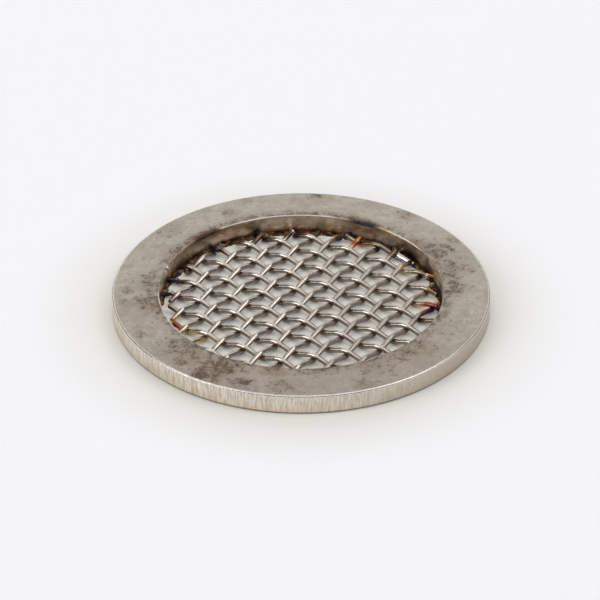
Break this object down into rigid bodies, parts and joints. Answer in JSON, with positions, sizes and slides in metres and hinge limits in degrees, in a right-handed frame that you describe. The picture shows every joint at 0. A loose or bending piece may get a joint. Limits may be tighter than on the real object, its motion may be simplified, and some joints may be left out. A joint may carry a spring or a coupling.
{
  "type": "inlet filter screen",
  "caption": "Flat steel ring with a disc of plain-woven wire cloth weld-tacked into its bore, to keep coarse debris out of a fluid inlet.",
  "frame": {"origin": "centre of the ring's underside, on the ring's axis", "axes": "+Z along the ring's axis, from the underside to the top face; +Y points away from the picture's viewer and +X to their right"},
  "size_m": [0.054, 0.054, 0.0029],
  "materials": {
    "ring": "matt, worn",
    "wire": "bright drawn wire",
    "weld": "heat-tinted"
  },
  "bodies": {
    "root": {"ring": "ring", "warp_wire_01": "wire", "warp_wire_02": "wire", "warp_wire_03": "wire", "warp_wire_04": "wire", "warp_wire_05": "wire", "warp_wire_06": "wire", "warp_wire_07": "wire", "warp_wire_08": "wire", "warp_wire_09": "wire", "warp_wire_10": "wire", "warp_wire_11": "wire", "warp_wire_12": "wire", "weft_wire_01": "wire", "weft_wire_02": "wire", "weft_wire_03": "wire", "weft_wire_04": "wire", "weft_wire_05": "wire", "weft_wire_06": "wire", "weft_wire_07": "wire", "weft_wire_08": "wire", "weft_wire_09": "wire", "weft_wire_10": "wire", "weft_wire_11": "wire", "weft_wire_12": "wire", "weld_tack_01": "weld", "weld_tack_02": "weld", "weld_tack_03": "weld", "weld_tack_04": "weld", "weld_tack_05": "weld", "weld_tack_06": "weld", "weld_tack_07": "weld", "weld_tack_08": "weld", "weld_tack_09": "weld", "weld_tack_10": "weld", "weld_tack_11": "weld", "weld_tack_12": "weld", "weld_tack_13": "weld", "weld_tack_14": "weld", "weld_tack_15": "weld"}
  },
  "joints": []
}
